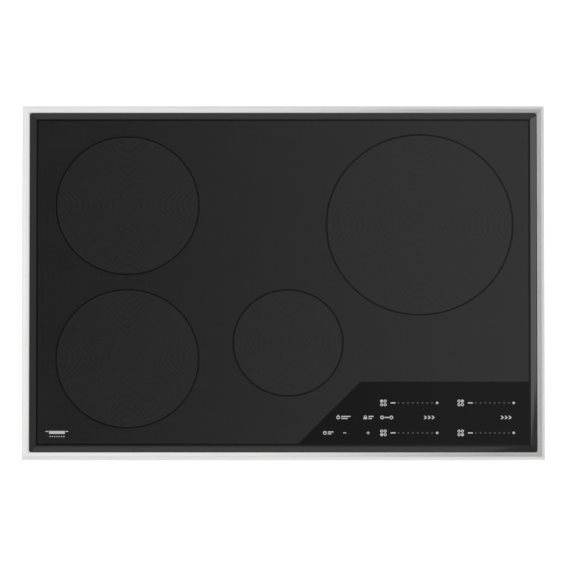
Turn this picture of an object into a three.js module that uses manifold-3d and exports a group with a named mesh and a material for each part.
// Built-in induction cooktop for a 30 inch worktop cut-out, as an assembly of its separate pieces.
// Millimetres. X runs to the right, Y to the back and Z up. The origin is the middle of the burner
// box's underside, so the box stands on Z = 0 and the frame overhangs it all round.
import * as THREE from "three";
import { ConvexGeometry } from "three/addons/geometries/ConvexGeometry.js";
import { mergeVertices } from "three/addons/utils/BufferGeometryUtils.js";
import Module from "manifold-3d";

const wasm = await Module();
wasm.setup();

// ---------------------------------------------------------------- driving dimensions
const WIDTH = 762; // frame, left to right
const DEPTH = 533.4; // frame, front to back
const HEIGHT = 101.6; // underside of the box to the top of the glass
const WORKTOP = 92; // level of the worktop that the frame's gasket rests on
const SHEET = 1.2; // steel sheet of the frame and the box
const GAP = 0.3; // left between pieces that touch in the real object
const THROUGH = 1; // how far a cutting tool runs past what it cuts

// Distances called inset run inwards from the frame's outer edge.
const GLASS = { inset: 11.5, thickness: 4, bevelRun: 9, bevelDrop: 1.8, corner: 3 };
const BOND = { outer: 13, inner: 22, space: 1.3 };
const TRIM = { top: 100.4, shoulder: 98.9, foot: 92.4, slope: 4.4, band: 11, ledge: 26 };
const GASKET = { inset: 10.3, width: 6 };
const BOX = { inset: 25.4, lip: 8 };
const INTAKE = { reach: 40, pitch: 9, rows: 4, halfSlot: 2 };
const EXHAUST = { count: 10, pitch: 8, halfSlot: 2, bottom: 14, top: 44 };
const TRAY = { top: 62, sheet: 1.5, clearance: 2.4, flange: 12, wireHole: 13, wireAt: 0.62 };
const RAIL = { leg: 15, sheet: 1.5, clearance: 0.6, halfLength: 220 };

const ZONES = [
  { name: "rear_left", x: -227.2, y: 115.5, radius: 104, wireSide: 1 },
  { name: "front_left", x: -227.2, y: -115.5, radius: 104, wireSide: 1 },
  { name: "centre", x: 7, y: -91.7, radius: 80, wireSide: -1 },
  { name: "right", x: 198.9, y: 86.5, radius: 136, wireSide: -1 },
];
const MODULE = { edge: 4, floor: 82, rim: 90, wall: 2, boss: 12, bossTop: 87.5 };
const WINDING = { bottom: 89.5, height: 3.5, eye: 22, edge: 9 };
const INSULATION = { bottom: 93.3, eye: 8, edge: 6 };
const SPRING = { wire: 2, bottomRadius: 22, topRadius: 13, turns: 3.5, steps: 36 };
const SENSOR = { radius: 5.5, bottom: 87.8 };

const INVERTER_X = 245; // each inverter, its heat sink, duct and fan stand on this line
const INVERTER = { width: 190, rear: 110, front: -190 };
const FAN = { size: 92, y: 175, height: 25, bore: 43, hub: 17, plate: 3, strut: 2 };
const ROTOR = { blades: 7, tip: 41, pitch: 34, chord: 24, thickness: 1.6, below: 3.6, above: 1.5 };
const BOARD = { thickness: 1.6, plate: 2, postHeight: 10, postRadius: 4, postInset: 8 };
const SINK = { halfBase: 28, base: 4, height: 32, fins: 9, fin: 2, front: -160, rear: 90 };
const DUCT = { half: 34, wall: 1.5, top: 50, inset: 4 };
const FILTER = { half: 105, front: -200, rear: -40, lift: 6, legRadius: 3, legInset: 14 };
const TERMINAL = { half: 42, front: 170, rear: 204, cells: 4, wall: 3, base: 12, height: 24 };
const COVER = { half: 50, front: 162, rear: 212, top: 44, wall: 1.5, cableHalf: 16, cableDrop: 4 };
const INLET = { z: 30, bore: 11, nozzle: 13.7, flange: 24, sleeve: 15.2, plate: 3, inside: -13, outside: 10 };
const TOUCH = { left: 56, right: 346, front: -236, rear: -158, floor: 88, top: 96.8, wall: 2 };
const TOUCH_POST = { inset: 10, radius: 5 };
const TOUCH_CLEARANCE = 0.5; // round the layers in the carrier's pocket
const CLAMP = { offset: 369.5, plateZ: 30, padTop: 54, shank: 3, halfWidth: 18 };
const BRACKET = { sheet: 2.5, low: 14, high: 46, inset: 1.5, holeClearance: 0.35 };
const PAD = { radius: 9.5, height: 6, socketClearance: 0.4, roof: 2.7 };
const KNOB = { radius: 8, low: 11, high: 18, tipBelowPad: 3 };

// ---------------------------------------------------------------- derived levels
const halfWidth = WIDTH / 2;
const halfDepth = DEPTH / 2;
const glassBottom = HEIGHT - GLASS.thickness;
const ledgeTop = glassBottom - BOND.space;
const ledgeBottom = ledgeTop - SHEET;
const boxX = halfWidth - BOX.inset;
const boxY = halfDepth - BOX.inset;
const boxTop = ledgeBottom - GAP;
const deck = SHEET + 0.4; // level that pieces standing on the box floor start from
const boardBottom = deck + BOARD.postHeight + GAP;
const boardTop = boardBottom + BOARD.thickness;

// ---------------------------------------------------------------- materials
const paint = (color, roughness, metalness) =>
  new THREE.MeshStandardMaterial({ color, roughness, metalness });
const LOOKS = {
  blackGlass: () => paint(0x0b0b0c, 0.08, 0),
  stainless: () => paint(0xcfcfcd, 0.3, 1),
  zincSheet: () => paint(0xa9adb0, 0.45, 0.9),
  aluminium: () => paint(0xb9bcbf, 0.4, 0.9),
  copper: () => paint(0xb06a3c, 0.4, 0.8),
  insulation: () => paint(0xdcd6c8, 0.95, 0),
  springSteel: () => paint(0x8f9296, 0.3, 0.95),
  silicone: () => paint(0x1b1b1c, 0.6, 0),
  foam: () => paint(0x2a2a2b, 0.95, 0),
  board: () => paint(0x1f6b3a, 0.5, 0),
  blackPlastic: () => paint(0x202122, 0.55, 0),
  whitePlastic: () => paint(0xe8e8e4, 0.5, 0),
  screwSteel: () => paint(0x9a9da1, 0.35, 0.9),
};

// ---------------------------------------------------------------- solids
function solidOf(geometry) {
  const bare = geometry.index ? geometry.toNonIndexed() : geometry.clone();
  bare.deleteAttribute("normal");
  bare.deleteAttribute("uv");
  const merged = mergeVertices(bare, 1e-4);
  const vertProperties = merged.attributes.position.array;
  const triVerts = new Uint32Array(merged.index.array);
  return new wasm.Manifold(new wasm.Mesh({ numProp: 3, vertProperties, triVerts }));
}

function meshOf(name, solid, material) {
  const { vertProperties, triVerts } = solid.getMesh();
  const shared = new THREE.BufferGeometry();
  shared.setAttribute("position", new THREE.BufferAttribute(vertProperties, 3));
  shared.setIndex(new THREE.BufferAttribute(triVerts, 1));
  const faceted = shared.toNonIndexed();
  faceted.computeVertexNormals();
  const mesh = new THREE.Mesh(faceted, material);
  mesh.name = name;
  return mesh;
}

const join = (first, ...others) => others.reduce((whole, part) => whole.add(part), first);
const cut = (first, ...tools) => tools.reduce((whole, tool) => whole.subtract(tool), first);

// A block between two corners.
function block(x0, x1, y0, y1, z0, z1) {
  const geometry = new THREE.BoxGeometry(x1 - x0, y1 - y0, z1 - z0);
  geometry.translate((x0 + x1) / 2, (y0 + y1) / 2, (z0 + z1) / 2);
  return solidOf(geometry);
}

function rectangle(x0, x1, y0, y1) {
  return new THREE.Shape([
    new THREE.Vector2(x0, y0),
    new THREE.Vector2(x1, y0),
    new THREE.Vector2(x1, y1),
    new THREE.Vector2(x0, y1),
  ]);
}

// An outline in the XY plane, raised from z0 to z1.
function raised(shape, z0, z1, curveSegments = 24) {
  const geometry = new THREE.ExtrudeGeometry(shape, {
    depth: z1 - z0,
    bevelEnabled: false,
    curveSegments,
  });
  geometry.translate(0, 0, z0);
  return solidOf(geometry);
}

// An outline of [x, z] points, run along Y from y0 to y1.
function alongY(points, y0, y1) {
  const shape = new THREE.Shape(points.map(([x, z]) => new THREE.Vector2(x, z)));
  const geometry = new THREE.ExtrudeGeometry(shape, { depth: y1 - y0, bevelEnabled: false });
  geometry.rotateX(Math.PI / 2);
  geometry.translate(0, y1, 0);
  return solidOf(geometry);
}

// A closed or axis-to-axis profile of [radius, z] points, turned about Z.
function turned(points, segments = 36) {
  const profile = points.map(([r, z]) => new THREE.Vector2(r, z));
  const geometry = new THREE.LatheGeometry(profile, segments);
  geometry.rotateX(Math.PI / 2);
  return solidOf(geometry);
}

const rod = (radius, z0, z1, segments = 20) =>
  turned([[0, z0], [radius, z0], [radius, z1], [0, z1]], segments);

// An upright cylinder standing at (x, y).
function pillar(x, y, radius, z0, z1, curveSegments) {
  const circle = new THREE.Shape();
  circle.absarc(x, y, radius, 0, 2 * Math.PI);
  return raised(circle, z0, z1, curveSegments);
}

const washer = (inner, outer, z0, z1, segments = 36) =>
  turned([[inner, z0], [outer, z0], [outer, z1], [inner, z1], [inner, z0]], segments);

// A section of [inset, z] points swept round a rectangle with mitred corners. The section runs up
// its outer side first; the inset is measured inwards from the rectangle's half sizes.
function mitredRing(section, halfX, halfY) {
  const corners = [[-1, -1], [1, -1], [1, 1], [-1, 1]];
  const at = ([inset, z], [sx, sy]) => [sx * (halfX - inset), sy * (halfY - inset), z];
  const position = [];
  section.forEach((point, i) => {
    const next = section[(i + 1) % section.length];
    corners.forEach((corner, c) => {
      const turn = corners[(c + 1) % corners.length];
      const [a, b, d, e] = [at(point, corner), at(point, turn), at(next, turn), at(next, corner)];
      position.push(...a, ...b, ...d, ...a, ...d, ...e);
    });
  });
  const geometry = new THREE.BufferGeometry();
  geometry.setAttribute("position", new THREE.Float32BufferAttribute(position, 3));
  return solidOf(geometry);
}

// ---------------------------------------------------------------- top: glass, frame, seals
function glassTop() {
  const outerX = halfWidth - GLASS.inset;
  const outerY = halfDepth - GLASS.inset;
  const cornerSteps = 4;
  const points = [];
  const sides = [[1, 1], [-1, 1], [-1, -1], [1, -1]];
  sides.forEach(([sx, sy], quarter) => {
    for (let step = 0; step <= cornerSteps; step += 1) {
      const angle = ((quarter + step / cornerSteps) * Math.PI) / 2;
      const x = sx * (outerX - GLASS.corner) + GLASS.corner * Math.cos(angle);
      const y = sy * (outerY - GLASS.corner) + GLASS.corner * Math.sin(angle);
      points.push(new THREE.Vector3(x, y, glassBottom));
      points.push(new THREE.Vector3(x, y, HEIGHT - GLASS.bevelDrop));
    }
    const topX = sx * (outerX - GLASS.bevelRun);
    const topY = sy * (outerY - GLASS.bevelRun);
    points.push(new THREE.Vector3(topX, topY, HEIGHT));
  });
  return solidOf(new ConvexGeometry(points));
}

// Folded sheet: outer skirt, sloping shoulder, flat band, step down and the ledge under the glass.
function trimFrame() {
  const section = [
    [0, TRIM.foot],
    [0, TRIM.shoulder],
    [TRIM.slope, TRIM.top],
    [TRIM.band, TRIM.top],
    [TRIM.band, ledgeTop],
    [TRIM.ledge, ledgeTop],
    [TRIM.ledge, ledgeBottom],
    [TRIM.band - SHEET, ledgeBottom],
    [TRIM.band - SHEET, TRIM.top - SHEET],
    [TRIM.slope, TRIM.top - SHEET],
    [SHEET, TRIM.shoulder - SHEET],
    [SHEET, TRIM.foot],
  ];
  return mitredRing(section, halfWidth, halfDepth);
}

function bondSeal() {
  const { outer, inner } = BOND;
  const low = ledgeTop + GAP;
  const high = glassBottom - GAP;
  return mitredRing([[outer, low], [outer, high], [inner, high], [inner, low]], halfWidth, halfDepth);
}

// Four strips of foam tape, butted at the corners.
function gasketStrips() {
  const outerX = halfWidth - GASKET.inset;
  const outerY = halfDepth - GASKET.inset;
  const innerX = outerX - GASKET.width;
  const innerY = outerY - GASKET.width;
  const top = ledgeBottom - GAP;
  return {
    gasket_front: block(-outerX, outerX, -outerY, -innerY, WORKTOP, top),
    gasket_rear: block(-outerX, outerX, innerY, outerY, WORKTOP, top),
    gasket_left: block(-outerX, -innerX, -innerY + GAP, innerY - GAP, WORKTOP, top),
    gasket_right: block(innerX, outerX, -innerY + GAP, innerY - GAP, WORKTOP, top),
  };
}

// ---------------------------------------------------------------- burner box
// Intake slots under a fan, each as long as the fan's circle is wide there.
function intakeSlots(centreX) {
  const slots = [];
  const { reach, pitch, rows, halfSlot } = INTAKE;
  for (let row = -rows; row <= rows; row += 1) {
    const y = FAN.y + row * pitch;
    const half = Math.sqrt(reach ** 2 - (row * pitch) ** 2);
    const [front, rear] = [y - halfSlot, y + halfSlot];
    slots.push(block(centreX - half, centreX + half, front, rear, -THROUGH, SHEET + THROUGH));
  }
  return slots;
}

// Exhaust slots through the front wall, in line with one inverter's duct.
function exhaustSlots(centreX) {
  const slots = [];
  const { count, pitch, halfSlot, bottom, top } = EXHAUST;
  const front = -boxY - THROUGH;
  const rear = -boxY + SHEET + THROUGH;
  for (let k = 0; k < count; k += 1) {
    const x = centreX + (k - (count - 1) / 2) * pitch;
    slots.push(block(x - halfSlot, x + halfSlot, front, rear, bottom, top));
  }
  return slots;
}

function burnerBox() {
  const section = [
    [0, 0],
    [0, boxTop - SHEET],
    [-BOX.lip, boxTop - SHEET],
    [-BOX.lip, boxTop],
    [SHEET, boxTop],
    [SHEET, 0],
  ];
  const walls = mitredRing(section, boxX, boxY);
  const overlap = SHEET / 2;
  const floor = block(-boxX + overlap, boxX - overlap, -boxY + overlap, boxY - overlap, 0, SHEET);
  const cableHole = alongAxisY(rod(INLET.nozzle + GAP, INLET.inside, INLET.outside), boxY, INLET.z);
  const vents = [-INVERTER_X, INVERTER_X].flatMap((x) => [...intakeSlots(x), ...exhaustSlots(x)]);
  return cut(join(walls, floor), cableHole, ...vents);
}

// Turns a solid made about Z so that its axis runs along +Y through (0, y, z).
function alongAxisY(solid, y, z) {
  const { vertProperties, triVerts } = solid.getMesh();
  const geometry = new THREE.BufferGeometry();
  geometry.setAttribute("position", new THREE.BufferAttribute(vertProperties, 3));
  geometry.setIndex(new THREE.BufferAttribute(triVerts, 1));
  geometry.rotateX(-Math.PI / 2);
  geometry.translate(0, y, z);
  return solidOf(geometry);
}

// Gland for the supply conduit: a flange outside the wall and a nozzle through it.
function inletBush() {
  const { inside, outside, plate } = INLET;
  const profile = [
    [INLET.bore, inside],
    [INLET.nozzle, inside],
    [INLET.nozzle, GAP],
    [INLET.flange, GAP],
    [INLET.flange, plate],
    [INLET.sleeve, plate],
    [INLET.sleeve, outside],
    [INLET.bore, outside],
    [INLET.bore, inside],
  ];
  return alongAxisY(turned(profile, 28), boxY, INLET.z);
}

// ---------------------------------------------------------------- coils and their tray
function coilSupportTray() {
  const x = boxX - SHEET - TRAY.clearance;
  const y = boxY - SHEET - TRAY.clearance;
  const bottom = TRAY.top - TRAY.sheet;
  const sheet = block(-x, x, -y, y, bottom, TRAY.top);
  const flangeLow = bottom - TRAY.flange;
  const flangeHigh = bottom + TRAY.sheet / 2;
  const front = block(-x, x, -y, -y + TRAY.sheet, flangeLow, flangeHigh);
  const rear = block(-x, x, y - TRAY.sheet, y, flangeLow, flangeHigh);
  const wireHoles = ZONES.map((zone) => {
    const holeX = zone.x + zone.wireSide * zone.radius * TRAY.wireAt;
    return pillar(holeX, zone.y, TRAY.wireHole, bottom - THROUGH, TRAY.top + THROUGH, 10);
  });
  return cut(join(sheet, front, rear), ...wireHoles);
}

// Angle under the tray's edge, fixed to the box's side wall.
function trayRail(side) {
  const { leg, sheet, clearance, halfLength } = RAIL;
  const wall = boxX - SHEET - clearance;
  const top = TRAY.top - TRAY.sheet - GAP;
  const points = [
    [wall, top - leg],
    [wall, top],
    [wall - leg, top],
    [wall - leg, top - sheet],
    [wall - sheet, top - sheet],
    [wall - sheet, top - leg],
  ];
  return alongY(points.map(([x, z]) => [side * x, z]), -halfLength, halfLength);
}

// Dished aluminium disc with a rim round the coil and a boss under the sensor.
function coilCarrier(zone) {
  const edge = zone.radius - MODULE.edge;
  return turned([
    [0, MODULE.floor],
    [edge, MODULE.floor],
    [edge, MODULE.rim],
    [edge - MODULE.wall, MODULE.rim],
    [edge - MODULE.wall, MODULE.floor + MODULE.wall],
    [MODULE.boss, MODULE.floor + MODULE.wall],
    [MODULE.boss, MODULE.bossTop],
    [0, MODULE.bossTop],
  ]);
}

function coilWinding(zone) {
  const top = WINDING.bottom + WINDING.height;
  return washer(WINDING.eye, zone.radius - WINDING.edge, WINDING.bottom, top);
}

function insulationDisc(zone) {
  const edge = zone.radius - INSULATION.edge;
  return washer(INSULATION.eye, edge, INSULATION.bottom, glassBottom - GAP);
}

function temperatureSensor() {
  return rod(SENSOR.radius, SENSOR.bottom, glassBottom - GAP, 16);
}

// Conical spring between the tray and the coil carrier.
class SpringLine extends THREE.Curve {
  getPoint(t, target = new THREE.Vector3()) {
    const radius = THREE.MathUtils.lerp(SPRING.bottomRadius, SPRING.topRadius, t);
    const low = TRAY.top + GAP + SPRING.wire / 2;
    const high = MODULE.floor - GAP - SPRING.wire / 2;
    const angle = 2 * Math.PI * SPRING.turns * t;
    const closerAtEnds = (THREE.MathUtils.smoothstep(t, 0, 1) + t) / 2;
    const z = THREE.MathUtils.lerp(low, high, closerAtEnds);
    return target.set(radius * Math.cos(angle), radius * Math.sin(angle), z);
  }
}

function supportSpring() {
  const section = new THREE.Shape();
  section.absarc(0, 0, SPRING.wire / 2, 0, 2 * Math.PI);
  const geometry = new THREE.ExtrudeGeometry(section, {
    steps: SPRING.steps,
    curveSegments: 3,
    bevelEnabled: false,
    extrudePath: new SpringLine(),
  });
  return solidOf(geometry);
}

function coilModule(zone) {
  const group = new THREE.Group();
  group.position.set(zone.x, zone.y, 0);
  group.add(
    meshOf("coil_carrier_" + zone.name, coilCarrier(zone), LOOKS.aluminium()),
    meshOf("coil_winding_" + zone.name, coilWinding(zone), LOOKS.copper()),
    meshOf("insulation_disc_" + zone.name, insulationDisc(zone), LOOKS.insulation()),
    meshOf("temperature_sensor_" + zone.name, temperatureSensor(), LOOKS.whitePlastic()),
    meshOf("support_spring_" + zone.name, supportSpring(), LOOKS.springSteel()),
  );
  return group;
}

// ---------------------------------------------------------------- touch controls
function touchCarrier() {
  const { left, right, front, rear, floor, top, wall } = TOUCH;
  const shell = block(left, right, front, rear, floor, top);
  const [pocketLow, pocketHigh] = [floor + wall, top + THROUGH];
  const pocket = block(left + wall, right - wall, front + wall, rear - wall, pocketLow, pocketHigh);
  const { inset, radius } = TOUCH_POST;
  const posts = [left + inset, right - inset].flatMap((x) =>
    [front + inset, rear - inset].map((y) =>
      pillar(x, y, radius, TRAY.top + GAP, floor + wall / 2, 8),
    ),
  );
  return join(cut(shell, pocket), ...posts);
}

// A layer that fills the carrier's pocket between two levels.
function touchLayer(z0, z1) {
  const margin = TOUCH.wall + TOUCH_CLEARANCE;
  const { left, right, front, rear } = TOUCH;
  return block(left + margin, right - margin, front + margin, rear - margin, z0, z1);
}

function touchControls() {
  const low = TOUCH.floor + TOUCH.wall + GAP;
  const high = low + BOARD.thickness;
  const guideTop = TOUCH.top + 0.4; // stands a little proud of the carrier, up to the glass
  const group = new THREE.Group();
  group.add(
    meshOf("touch_carrier", touchCarrier(), LOOKS.blackPlastic()),
    meshOf("touch_board", touchLayer(low, high), LOOKS.board()),
    meshOf("light_guide", touchLayer(high + GAP, guideTop), LOOKS.whitePlastic()),
  );
  return group;
}

// ---------------------------------------------------------------- inverters and cooling
function boardCarrier() {
  const half = INVERTER.width / 2;
  const { plate, postHeight, postRadius, postInset } = BOARD;
  const { front, rear } = INVERTER;
  const sheet = block(-half, half, front, rear, deck, deck + plate);
  const posts = [-half + postInset, half - postInset].flatMap((x) =>
    [front + postInset, (front + rear) / 2, rear - postInset].map((y) =>
      pillar(x, y, postRadius, deck + plate / 2, deck + postHeight, 6),
    ),
  );
  return join(sheet, ...posts);
}

function powerBoard() {
  const margin = 1;
  const half = INVERTER.width / 2 - margin;
  const { front, rear } = INVERTER;
  return block(-half, half, front + margin, rear - margin, boardBottom, boardTop);
}

// Extruded comb: a base with upright fins along the air stream.
function heatSink() {
  const { halfBase, base, height, fins, fin, front, rear } = SINK;
  const bottom = boardTop + GAP;
  const top = bottom + height;
  const pitch = (2 * halfBase - fin) / (fins - 1);
  const points = [[-halfBase, bottom], [halfBase, bottom]];
  for (let k = fins - 1; k >= 0; k -= 1) {
    const left = -halfBase + k * pitch;
    points.push([left + fin, k === fins - 1 ? top : bottom + base]);
    if (k < fins - 1) {
      points.push([left + fin, top]);
    }
    points.push([left, top]);
    if (k > 0) {
      points.push([left, bottom + base]);
    }
  }
  return alongY(points, front, rear);
}

// Plastic channel turned upside down over the heat sink.
function airDuct() {
  const bottom = boardTop + GAP;
  const { half, wall, top, inset } = DUCT;
  const points = [
    [-half, bottom],
    [-half + wall, bottom],
    [-half + wall, top - wall],
    [half - wall, top - wall],
    [half - wall, bottom],
    [half, bottom],
    [half, top],
    [-half, top],
  ];
  return alongY(points, INVERTER.front + inset, INVERTER.rear - inset);
}

function fanHousing() {
  const half = FAN.size / 2;
  const square = rectangle(-half, half, -half, half);
  const bore = new THREE.Path();
  bore.absarc(0, 0, FAN.bore, 0, 2 * Math.PI);
  square.holes.push(bore);
  const body = raised(square, deck, deck + FAN.height, 16);
  const motorPlate = rod(FAN.hub, deck, deck + FAN.plate);
  const reach = FAN.bore + 1;
  const strut = FAN.strut;
  const strutTop = deck + FAN.plate - 0.5;
  const struts = [
    block(-reach, reach, -strut, strut, deck, strutTop),
    block(-strut, strut, -reach, reach, deck, strutTop),
  ];
  return join(body, motorPlate, ...struts);
}

function fanRotor() {
  const low = deck + ROTOR.below;
  const high = deck + FAN.height - ROTOR.above;
  const hub = rod(FAN.hub, low, high);
  const rootDepth = 2; // how far a blade runs into the hub
  const tipClearance = 0.8; // keeps the square tip's corners inside the bore
  const span = ROTOR.tip - FAN.hub + rootDepth;
  const blades = [];
  for (let k = 0; k < ROTOR.blades; k += 1) {
    const blade = new THREE.BoxGeometry(span, ROTOR.chord, ROTOR.thickness);
    blade.rotateX(THREE.MathUtils.degToRad(ROTOR.pitch));
    blade.translate(ROTOR.tip - span / 2 - tipClearance, 0, (low + high) / 2);
    blade.rotateZ((2 * Math.PI * k) / ROTOR.blades);
    blades.push(solidOf(blade));
  }
  return join(hub, ...blades);
}

function inverterUnit(side, label) {
  const group = new THREE.Group();
  group.position.x = side * INVERTER_X;
  const fan = new THREE.Group();
  fan.position.y = FAN.y;
  fan.add(
    meshOf("fan_housing_" + label, fanHousing(), LOOKS.blackPlastic()),
    meshOf("fan_rotor_" + label, fanRotor(), LOOKS.blackPlastic()),
  );
  group.add(
    meshOf("board_carrier_" + label, boardCarrier(), LOOKS.blackPlastic()),
    meshOf("power_board_" + label, powerBoard(), LOOKS.board()),
    meshOf("heat_sink_" + label, heatSink(), LOOKS.aluminium()),
    meshOf("air_duct_" + label, airDuct(), LOOKS.blackPlastic()),
    fan,
  );
  return group;
}

// ---------------------------------------------------------------- mains side
// Board on four short legs.
function filterBoard() {
  const { half, front, rear, lift, legRadius, legInset } = FILTER;
  const bottom = deck + lift;
  const board = block(-half, half, front, rear, bottom, bottom + BOARD.thickness);
  const legs = [-half + legInset, half - legInset].flatMap((x) =>
    [front + legInset, rear - legInset].map((y) =>
      pillar(x, y, legRadius, deck, bottom + BOARD.thickness / 2, 6),
    ),
  );
  return join(board, ...legs);
}

// Five walls with a terminal between each two.
function terminalBlock() {
  const { half, front, rear, cells, wall, base, height } = TERMINAL;
  const top = deck + height;
  const pitch = (2 * half - wall) / cells;
  const body = block(-half, half, front, rear, deck, top);
  const slots = Array.from({ length: cells }, (_, k) => {
    const left = -half + wall + k * pitch;
    const right = left + pitch - wall;
    return block(left, right, front - THROUGH, rear + THROUGH, deck + base, top + THROUGH);
  });
  return cut(body, ...slots);
}

// Cap over the terminals, open below and towards the inlet.
function terminalCover() {
  const { half, front, rear, top, wall, cableHalf, cableDrop } = COVER;
  const below = deck - THROUGH;
  const shell = block(-half, half, front, rear, deck, top);
  const inside = block(-half + wall, half - wall, front + wall, rear - wall, below, top - wall);
  const way = block(-cableHalf, cableHalf, rear - 2 * wall, rear + THROUGH, below, top - cableDrop);
  return cut(shell, inside, way);
}

// ---------------------------------------------------------------- worktop clamps
function clampBracket(side) {
  const { sheet, low, high, inset, holeClearance } = BRACKET;
  const wall = boxX + GAP;
  const reach = halfWidth - inset;
  const shelfLow = CLAMP.plateZ;
  const shelfHigh = CLAMP.plateZ + sheet;
  const points = [
    [wall, low],
    [wall + sheet, low],
    [wall + sheet, shelfLow],
    [reach, shelfLow],
    [reach, shelfHigh],
    [wall + sheet, shelfHigh],
    [wall + sheet, high],
    [wall, high],
  ];
  const angle = alongY(points.map(([x, z]) => [side * x, z]), -CLAMP.halfWidth, CLAMP.halfWidth);
  const holeRadius = CLAMP.shank + holeClearance;
  const holeX = side * CLAMP.offset;
  return cut(angle, pillar(holeX, 0, holeRadius, shelfLow - THROUGH, shelfHigh + THROUGH, 10));
}

// Swivel pad with a blind socket for the tip of the screw.
function clampPad() {
  const { radius, height, socketClearance, roof } = PAD;
  const bottom = CLAMP.padTop - height;
  const socket = CLAMP.shank + socketClearance;
  const socketTop = CLAMP.padTop - roof;
  return turned([
    [socket, bottom],
    [radius, bottom],
    [radius, CLAMP.padTop],
    [0, CLAMP.padTop],
    [0, socketTop],
    [socket, socketTop],
    [socket, bottom],
  ], 24);
}

function clampScrew() {
  const { radius, low, high, tipBelowPad } = KNOB;
  const tip = CLAMP.padTop - tipBelowPad;
  return turned([
    [0, low],
    [radius, low],
    [radius, high],
    [CLAMP.shank, high],
    [CLAMP.shank, tip],
    [0, tip],
  ], 20);
}

function worktopClamp(side, label) {
  const group = new THREE.Group();
  const screwLine = new THREE.Group();
  screwLine.position.x = side * CLAMP.offset;
  screwLine.add(
    meshOf("clamp_pad_" + label, clampPad(), LOOKS.silicone()),
    meshOf("clamp_screw_" + label, clampScrew(), LOOKS.screwSteel()),
  );
  group.add(meshOf("clamp_bracket_" + label, clampBracket(side), LOOKS.zincSheet()), screwLine);
  return group;
}

// ---------------------------------------------------------------- assembly
const cooktop = new THREE.Group();
cooktop.add(
  meshOf("glass_top", glassTop(), LOOKS.blackGlass()),
  meshOf("trim_frame", trimFrame(), LOOKS.stainless()),
  meshOf("glass_bond_seal", bondSeal(), LOOKS.silicone()),
  meshOf("burner_box", burnerBox(), LOOKS.zincSheet()),
  meshOf("inlet_bush", inletBush(), LOOKS.blackPlastic()),
  meshOf("coil_support_tray", coilSupportTray(), LOOKS.aluminium()),
  meshOf("filter_board", filterBoard(), LOOKS.board()),
  meshOf("terminal_block", terminalBlock(), LOOKS.blackPlastic()),
  meshOf("terminal_cover", terminalCover(), LOOKS.whitePlastic()),
  touchControls(),
);
for (const [name, strip] of Object.entries(gasketStrips())) {
  cooktop.add(meshOf(name, strip, LOOKS.foam()));
}
for (const zone of ZONES) {
  cooktop.add(coilModule(zone));
}
for (const [side, label] of [[-1, "left"], [1, "right"]]) {
  cooktop.add(
    meshOf("tray_rail_" + label, trayRail(side), LOOKS.zincSheet()),
    inverterUnit(side, label),
    worktopClamp(side, label),
  );
}

export default cooktop;
